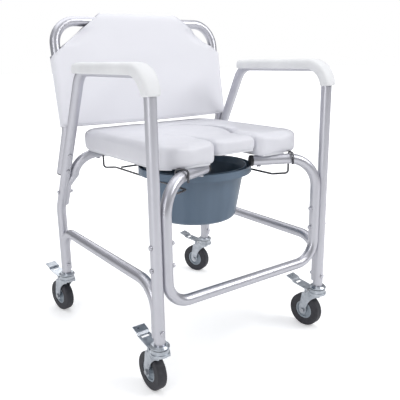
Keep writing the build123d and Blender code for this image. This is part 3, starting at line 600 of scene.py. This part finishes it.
def swell(made, floor_z):
    """Remeshes a pad and blows it up as cloth, no further than the caps, resting on floor_z."""
    add_modifier(made, "REMESH", mode="VOXEL", voxel_size=VOXEL)
    add_modifier(made, "SMOOTH", factor=0.5, iterations=7)
    apply_modifiers(made)
    before = [v.co.copy() for v in made.data.vertices]
    cloth = add_modifier(made, "CLOTH")
    cloth.settings.use_pressure = True
    cloth.settings.uniform_pressure_force = SIM_PRESSURE
    cloth.settings.effector_weights.gravity = 0.0
    cloth.point_cache.frame_start = SIM_FIRST
    cloth.point_cache.frame_end = SIM_LAST
    for number in range(SIM_FIRST, SIM_LAST + 1):
        scene.frame_set(number)
    apply_modifiers(made)
    scene.frame_set(SIM_FIRST)
    for vertex, start in zip(made.data.vertices, before):
        step = vertex.co - start
        side = Vector((step.x, step.y, 0.0))
        if side.length > SWELL_SIDE:
            side *= SWELL_SIDE / side.length
        rise = min(max(step.z, -SWELL_TOP), SWELL_TOP)
        vertex.co = start + side + Vector((0, 0, rise))
        vertex.co.z = max(vertex.co.z, floor_z)


def fit_plan(made, low, high):
    """Stretches a pad sideways to the box of its CAD solid, which the swelling pulled it in from."""
    places = [vertex.co for vertex in made.data.vertices]
    for axis in (0, 1):
        start, end = min(p[axis] for p in places), max(p[axis] for p in places)
        scale = (high[axis] - low[axis]) / (end - start)
        for place in places:
            place[axis] = low[axis] + (place[axis] - start) * scale


def finish_pad(made, shape, low, high):
    """Shapes a swollen pad's top, evens it out, subdivides it once and fits it to its box."""
    for vertex in made.data.vertices:
        vertex.co.z += shape(vertex.co)
    add_modifier(made, "SMOOTH", factor=0.5, iterations=2)
    add_modifier(made, "SUBSURF", levels=1, render_levels=1)
    apply_modifiers(made)
    fit_plan(made, low, high)
    tidy_mesh(made)


def groove_fill(place, top):
    """Lifts the pads' edges along the rear of the oval, where the groove between them closes."""
    off_oval = abs(hypot(place.x / OVAL_RX, (place.y - OVAL_Y) / OVAL_RY) - 1.0)
    near = smoothstep(GROOVE_FAR, GROOVE_NEAR, off_oval)
    rear = smoothstep(GROOVE_START, GROOVE_END, place.y)
    upper = smoothstep(top - GROOVE_DEEP, top - GROOVE_SHALLOW, place.z)
    return near * rear * GROOVE_FILL * max(top - place.z, 0.0) * upper


def seat_shape(place):
    """How far a point of the seat pad is raised: a crown, a dimple and the groove's end."""
    middle_y = (seat_low.y + seat_high.y) / 2
    across = 1 - (place.x / seat_high.x) ** 2
    along = 1 - ((place.y - middle_y) / SEAT_CROWN_REACH) ** 2
    from_dimple = hypot(place.x - DIMPLE_X, place.y - DIMPLE_Y)
    dimple = DIMPLE_DEPTH * exp(-(from_dimple / DIMPLE_R) ** 2)
    upper = smoothstep(seat_low.z + SEAT_FADE_LOW, seat_high.z - SEAT_FADE_TOP, place.z)
    return upper * (SEAT_CROWN * across * along - dimple) + groove_fill(place, seat_high.z)


def insert_shape(place):
    """How far a point of the insert is raised: a crown, a rise to the rear, the groove's end."""
    upper = smoothstep(insert_low.z + INSERT_FADE_LOW, insert_high.z - INSERT_FADE_TOP, place.z)
    crown = INSERT_CROWN * (1 - (place.x / OVAL_RX) ** 2)
    rear = INSERT_RISE * smoothstep(INSERT_RISE_START, INSERT_RISE_END, place.y)
    return upper * (crown + rear) + groove_fill(place, insert_high.z)


def make_eyelet(cushion):
    """A small pressed vent eyelet in the left lobe: a rolled rim round a sunk middle."""
    near = [v.co.z for v in cushion.data.vertices
            if hypot(v.co.x - EYELET_X, v.co.y - EYELET_Y) < 2 * EYELET_R]
    top = max(near)
    middle_height = EYELET_PROFILE[0][1]
    points = [(EYELET_X, EYELET_Y, top + middle_height)]
    for share, height in EYELET_PROFILE[1:]:
        for i in range(EYELET_SIDES):
            turn = 2 * pi * i / EYELET_SIDES
            reach = EYELET_R * share
            points.append((EYELET_X + reach * cos(turn), EYELET_Y + reach * sin(turn), top + height))
    rings = len(EYELET_PROFILE) - 1
    faces = [(0, 1 + i, 1 + (i + 1) % EYELET_SIDES) for i in range(EYELET_SIDES)]
    faces += ring_sides(1, EYELET_SIDES, rings)
    faces.append(tuple(1 + (rings - 1) * EYELET_SIDES + i for i in range(EYELET_SIDES)))
    eyelet = mesh_object("vent_eyelet", points, faces, "wire")
    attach(eyelet, "frame")


def make_pad(name, outline, edge, shape, node, body):
    """One upholstered pad, in place of its plain CAD solid."""
    low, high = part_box(node)
    floor_z = low.z - PAD_WRAP
    pad = pad_blank(name, outline, floor_z, high.z - SWELL_TOP, edge)
    swell(pad, floor_z)
    finish_pad(pad, shape, low, high)
    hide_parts(node)
    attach(pad, body)
    return pad


def make_seat_pads():
    seat, insert = seat_outline(START_INSET), insert_outline(START_INSET)
    cushion = make_pad("seat_pad", seat, SEAT_EDGE, seat_shape, "seat_cushion", "frame")
    make_eyelet(cushion)
    make_pad("insert_pad", insert, INSERT_EDGE, insert_shape, "insert_cushion", "seat_insert")


# ---------------------------------------------------------------- arm pads
ARM_Z = 0.697
ARM_BEND = 0.050
TUBE_R = 0.0127
# A side frame is as wide as its tube, and its front leg stands foremost.
leg_low, leg_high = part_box("side_frame_right")
HALF_WIDTH = (leg_low.x + leg_high.x) / 2  # from the middle to a side frame's plane
frame_front_y = leg_low.y + TUBE_R

PAD_CHANNEL = TUBE_R + 0.0002
PAD_HALF, PAD_TOP, PAD_SKIRT = 0.022, 0.0185, 0.0065
PAD_TOP_CORNER, PAD_LOW_CORNER = 0.011, 0.005
PAD_TOP_ARC, PAD_LOW_ARC = 84, -80  # where the rounded corners end, in degrees
PAD_TOP_STEPS, PAD_LOW_STEPS = 6, 4
PAD_SIDE_BULGE = 0.0003
PAD_CROWN, PAD_CROWN_HALF, PAD_CROWN_DROP = 0.001, 0.006, 0.0002
PAD_LIP = 0.001  # the channel's wall starts this far above the skirt's edge
PAD_WALL_SHARE = 0.25  # share of the section's points on each straight wall of the channel
PAD_NOSE, PAD_NOSE_SHARE = 0.050, 0.87  # the front end narrows to this share over this length
PAD_END_ROUND = 0.0048
PAD_END_STEPS = (0.0, 0.12, 0.3, 0.6, 1.0)
PAD_END_MOST = 0.85  # share of the wall that an end's rounding may take
PAD_STEPS = 56
PAD_LAST_TURN = 86.0  # degrees round the front bend


def pad_section():
    """Outer and inner points of an arm pad's section: u sideways, v away from the tube."""
    x, top, low = PAD_HALF, PAD_TOP, -PAD_SKIRT
    low_v, top_v = low + PAD_LOW_CORNER, top - PAD_TOP_CORNER - PAD_CROWN
    outer = arc(x - PAD_LOW_CORNER, low_v, PAD_LOW_CORNER, PAD_LOW_ARC, 0, PAD_LOW_STEPS)
    outer += [(x + PAD_SIDE_BULGE, (top + low) / 2)]
    outer += arc(x - PAD_TOP_CORNER, top_v, PAD_TOP_CORNER, 0, PAD_TOP_ARC, PAD_TOP_STEPS)
    outer += [(PAD_CROWN_HALF, top - PAD_CROWN_DROP), (0.0, top)]
    outer += [(-u, v) for u, v in reversed(outer[:-1])]
    inner = []
    for i in range(len(outer)):
        t = i / (len(outer) - 1)
        from_lip = min(t, 1 - t)
        if from_lip < PAD_WALL_SHARE:
            side = PAD_CHANNEL if t < 0.5 else -PAD_CHANNEL
            inner.append((side, (low + PAD_LIP) * (1 - from_lip / PAD_WALL_SHARE)))
        else:
            turn = pi * (t - PAD_WALL_SHARE) / (1 - 2 * PAD_WALL_SHARE)
            inner.append((PAD_CHANNEL * cos(turn), PAD_CHANNEL * sin(turn)))
    return outer, inner


def pad_path(rear_y):
    """Places along the arm: point, outward direction, distance from the nearer end, width share."""
    front_y = frame_front_y + ARM_BEND
    straight = rear_y - front_y
    length = straight + ARM_BEND * radians(PAD_LAST_TURN)
    between = length - 2 * PAD_END_ROUND
    rear_end = [PAD_END_ROUND * share for share in PAD_END_STEPS]
    middle = [PAD_END_ROUND + between * i / PAD_STEPS for i in range(1, PAD_STEPS)]
    front_end = [length - s for s in reversed(rear_end)]
    places = []
    for s in rear_end + middle + front_end:
        if s < straight:
            point, out = Vector((0, rear_y - s, ARM_Z)), Vector((0, 0, 1))
        else:
            turn = (s - straight) / ARM_BEND
            out = Vector((0, -sin(turn), cos(turn)))
            point = Vector((0, front_y, ARM_Z - ARM_BEND)) + out * ARM_BEND
        nose = 1 - (1 - PAD_NOSE_SHARE) * smoothstep(length - PAD_NOSE, length, s)
        places.append((point, out, min(s, length - s), nose))
    return places


def arm_pad_faces(count, sections):
    """Faces of a channel: each section has count outer points, then count inner points."""
    faces = []
    ring = 2 * count
    for k in range(sections - 1):
        a, b = k * ring, (k + 1) * ring
        for i in range(count - 1):
            faces.append((a + i, a + i + 1, b + i + 1, b + i))
            faces.append((a + count + i, b + count + i, b + count + i + 1, a + count + i + 1))
        faces.append((a, b, b + count, a + count))
        faces.append((a + count - 1, a + ring - 1, b + ring - 1, b + count - 1))
    for start in (0, (sections - 1) * ring):
        for i in range(count - 1):
            faces.append((start + i, start + i + 1, start + count + i + 1, start + count + i))
    return faces


def make_arm_pad(side, sign):
    """A foam channel over the arm and its front bend, with rounded ends."""
    pad_rear_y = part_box(f"arm_pad_{side}")[1].y
    outer, inner = pad_section()
    middle = Vector((sign * HALF_WIDTH, 0, 0))
    points = []
    places = pad_path(pad_rear_y)
    for point, out, reach, nose in places:
        back = max(PAD_END_ROUND - reach, 0.0)
        inset = PAD_END_ROUND - sqrt(PAD_END_ROUND ** 2 - back ** 2)
        for (u, v), (iu, iv) in zip(outer, inner):
            thick = hypot(u - iu, v - iv)
            share = min(inset / thick, PAD_END_MOST)
            u, v = nose * (u + (iu - u) * share), v + (iv - v) * share
            points.append(point + middle + Vector((u, 0, 0)) + out * v)
        for iu, iv in inner:
            points.append(point + middle + Vector((iu, 0, 0)) + out * iv)
    faces = arm_pad_faces(len(outer), len(places))
    pad = mesh_object(f"arm_pad_foam_{side}", points, faces, "arm_pad")
    add_modifier(pad, "SUBSURF", levels=1, render_levels=1)
    apply_modifiers(pad)
    tidy_mesh(pad)
    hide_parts(f"arm_pad_{side}")
    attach(pad, "frame")


# ---------------------------------------------------------------- back sleeve
# Heights here, called v, are up the recline from the back's origin.
RECLINE = radians(10.0)
SLEEVE_HALF, SHOULDER_HALF = 0.267, 0.114
SLEEVE_LOW, SLEEVE_SIDE, SLEEVE_TOP = 0.007, 0.181, 0.2955
TOP_BAR_V = 0.2722
SLING_HALF_DEPTH = 0.017
CLOTH_THICK = 0.0009
SLEEVE_DEPTH = TUBE_R + 0.0016  # cloth's outer face, from the back tube's plane
LAYER_SAG, SAG_RATE, SAG_SKEW = 0.0035, 4.0, 0.6  # each layer sinks in between the tubes
LOW_SAG, LOW_SAG_REACH = 0.003, 0.10  # the lower edge hangs lower in the middle
PINCH, PINCH_REACH = 0.8, 0.028
PINCH_START, PINCH_FULL, PINCH_FADE, PINCH_END = 0.20, 0.36, 0.50, 0.66  # up the shoulder
COLUMNS, ROWS = 96, 60

HEM_R, HEM_SIDES = 0.0011, 8
STITCH_LONG, STITCH_R, STITCH_STEP, STITCH_INSET = 0.0032, 0.00035, 0.0052, 0.009
STITCH_SIDES = 5
STITCH_LIFT = 0.5  # share of its radius that a stitch stands off the cloth
STITCH_PROFILE = ((-0.5, 0.4), (-0.25, 1.0), (0.25, 1.0), (0.5, 0.4))  # shares: along, radius
LOW_STITCH_MARGIN = 6  # columns left free at both ends of the lower edge
SHOULDER_STITCHES = slice(2, -3)  # the rows that a shoulder's stitches run over

# The back's plane: the back tube's axis above its bend, leaning back, from the sleeve's CAD box.
sling_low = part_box("back_sling")[0]
recline_up = Vector((0, sin(RECLINE), cos(RECLINE)))
recline_rear = Vector((0, cos(RECLINE), -sin(RECLINE)))
front_corner = Vector((0, sling_low.y, 0)) - recline_up * SLEEVE_LOW + recline_rear * SLING_HALF_DEPTH
low_corner = Vector((0, 0, sling_low.z)) - recline_up * SLEEVE_LOW - recline_rear * SLING_HALF_DEPTH
back_origin = Vector((0, front_corner.y, low_corner.z))
shoulder_z = (back_origin + recline_up * SLEEVE_SIDE).z
shoulder_run = Vector((SHOULDER_HALF - SLEEVE_HALF, SLEEVE_TOP - SLEEVE_SIDE)).normalized()
shoulder_inward = Vector((shoulder_run.y, 0, 0)) + recline_up * shoulder_run.x


def sleeve_half_width(v):
    if v <= SLEEVE_SIDE:
        return SLEEVE_HALF
    share = (v - SLEEVE_SIDE) / (SLEEVE_TOP - SLEEVE_SIDE)
    return SLEEVE_HALF + (SHOULDER_HALF - SLEEVE_HALF) * share


def sleeve_depth(x, v):
    """Half the sleeve's depth: full between the tubes, round them at the sides and the top."""
    past_side = max(abs(x) - HALF_WIDTH, 0.0) / (SLEEVE_HALF - HALF_WIDTH)
    past_bar = max(v - TOP_BAR_V, 0.0) / (SLEEVE_TOP - TOP_BAR_V)
    depth = SLEEVE_DEPTH * sqrt(max(1 - past_side ** 2, 0.0)) * sqrt(max(1 - past_bar ** 2, 0.0))
    # Between the two places where the tube leaves it, the shoulder's two layers lie close together.
    along = (v - SLEEVE_SIDE) / (SLEEVE_TOP - SLEEVE_SIDE)
    inside = sleeve_half_width(v) - abs(x)
    pinch = smoothstep(PINCH_START, PINCH_FULL, along) * smoothstep(PINCH_END, PINCH_FADE, along)
    return depth * (1 - PINCH * pinch * exp(-(inside / PINCH_REACH) ** 2))


def sleeve_point(x, v, layer):
    """A point of the front (-1) or rear (1) layer, x across and v up the recline."""
    across = max(1 - (x / HALF_WIDTH) ** 2, 0.0)
    down = min(max((SLEEVE_TOP - v) / SLEEVE_TOP, 0.0), 1.0)
    sag = LAYER_SAG * across * min(SAG_RATE * down * (1 - SAG_SKEW * down), 1.0)
    lowered = v - LOW_SAG * across * smoothstep(LOW_SAG_REACH, 0.0, v)
    depth = layer * (sleeve_depth(x, v) - sag)
    return back_origin + Vector((x, 0, 0)) + recline_up * lowered + recline_rear * depth


def sleeve_trim(name, points, faces):
    made = mesh_object(name, points, faces, "sleeve")
    return made


def make_hem(name, line):
    """A thin round welt along a line of points."""
    points, one = [], None
    for k, point in enumerate(line):
        along = (line[min(k + 1, len(line) - 1)] - line[max(k - 1, 0)]).normalized()
        if one is None:
            one = along.orthogonal().normalized()
        else:
            one = (one - along * one.dot(along)).normalized()
        two = along.cross(one)
        for i in range(HEM_SIDES):
            turn = 2 * pi * i / HEM_SIDES
            points.append(point + one * HEM_R * cos(turn) + two * HEM_R * sin(turn))
    return sleeve_trim(name, points, closed_rings(0, HEM_SIDES, len(line)))


def make_stitches(name, line, inward, lift):
    """A row of short raised stitches beside a hem, lying on the cloth."""
    points, faces, travelled = [], [], 0.0
    for start, end in zip(line, line[1:]):
        run = end - start
        along = run.normalized()
        one = along.orthogonal().normalized()
        two = along.cross(one)
        while travelled < run.length:
            centre = start + along * travelled + inward + lift
            travelled += STITCH_STEP
            faces += closed_rings(len(points), STITCH_SIDES, len(STITCH_PROFILE))
            for offset, share in STITCH_PROFILE:
                for i in range(STITCH_SIDES):
                    turn = 2 * pi * i / STITCH_SIDES
                    ring = (one * cos(turn) + two * sin(turn)) * STITCH_R * share
                    points.append(centre + along * STITCH_LONG * offset + ring)
        travelled -= run.length
    return sleeve_trim(name, points, faces)


def make_hems(grids):
    """Bound and stitched edges: both shoulders of each layer, and its lower edge."""
    made = []
    for layer, grid in grids.items():
        face = "front" if layer < 0 else "rear"
        low_line = grid[0]
        shoulder_rows = [row for row in grid if row[0].z > shoulder_z]
        left_line, right_line = [[row[column] for row in shoulder_rows] for column in (0, -1)]
        made.append(make_hem(f"sleeve_hem_left_{face}", left_line))
        made.append(make_hem(f"sleeve_hem_right_{face}", right_line))
        made.append(make_hem(f"sleeve_hem_low_{face}", low_line))
        lift = recline_rear * layer * STITCH_R * STITCH_LIFT
        low_stitched = low_line[LOW_STITCH_MARGIN:-LOW_STITCH_MARGIN]
        upward = recline_up * STITCH_INSET
        made.append(make_stitches(f"sleeve_stitches_low_{face}", low_stitched, upward, lift))
        for side, line, sign in (("left", left_line, 1), ("right", right_line, -1)):
            inward = shoulder_inward * STITCH_INSET
            inward = Vector((sign * inward.x, inward.y, inward.z))
            stitched = line[SHOULDER_STITCHES]
            made.append(make_stitches(f"sleeve_stitches_{side}_{face}", stitched, inward, lift))
    return made


def make_sleeve():
    """The cloth sleeve over the back tube: two layers that meet at the sides and along the top."""
    across = [sin(pi / 2 * (2 * i / COLUMNS - 1)) for i in range(COLUMNS + 1)]
    rise = SLEEVE_TOP - SLEEVE_LOW
    heights = [SLEEVE_LOW + rise * sin(pi / 2 * j / ROWS) for j in range(ROWS + 1)]
    row = COLUMNS + 1
    points, faces, grids = [], [], {}
    for layer in (-1, 1):
        base = len(points)
        grids[layer] = []
        for v in heights:
            width = sleeve_half_width(v)
            line = [sleeve_point(width * c, v, layer) for c in across]
            grids[layer].append(line)
            points += line
        for j in range(ROWS):
            for i in range(COLUMNS):
                a = base + j * row + i
                quad = (a, a + 1, a + row + 1, a + row)
                faces.append(quad if layer < 0 else quad[::-1])
    sleeve = mesh_object("back_sleeve", points, faces, "sleeve")
    add_modifier(sleeve, "SOLIDIFY", thickness=CLOTH_THICK, offset=-1.0)
    apply_modifiers(sleeve)
    tidy_mesh(sleeve, merge=0.0)
    hems = make_hems(grids)
    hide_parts("back_sling")
    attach(sleeve, "frame")
    for hem in hems:
        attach(hem, "frame")


# ---------------------------------------------------------------- the whole scene
make_stage()
make_camera()
finish_cad_nodes()
make_seat_pads()
for side, sign in (("left", -1), ("right", 1)):
    make_arm_pad(side, sign)
make_sleeve()
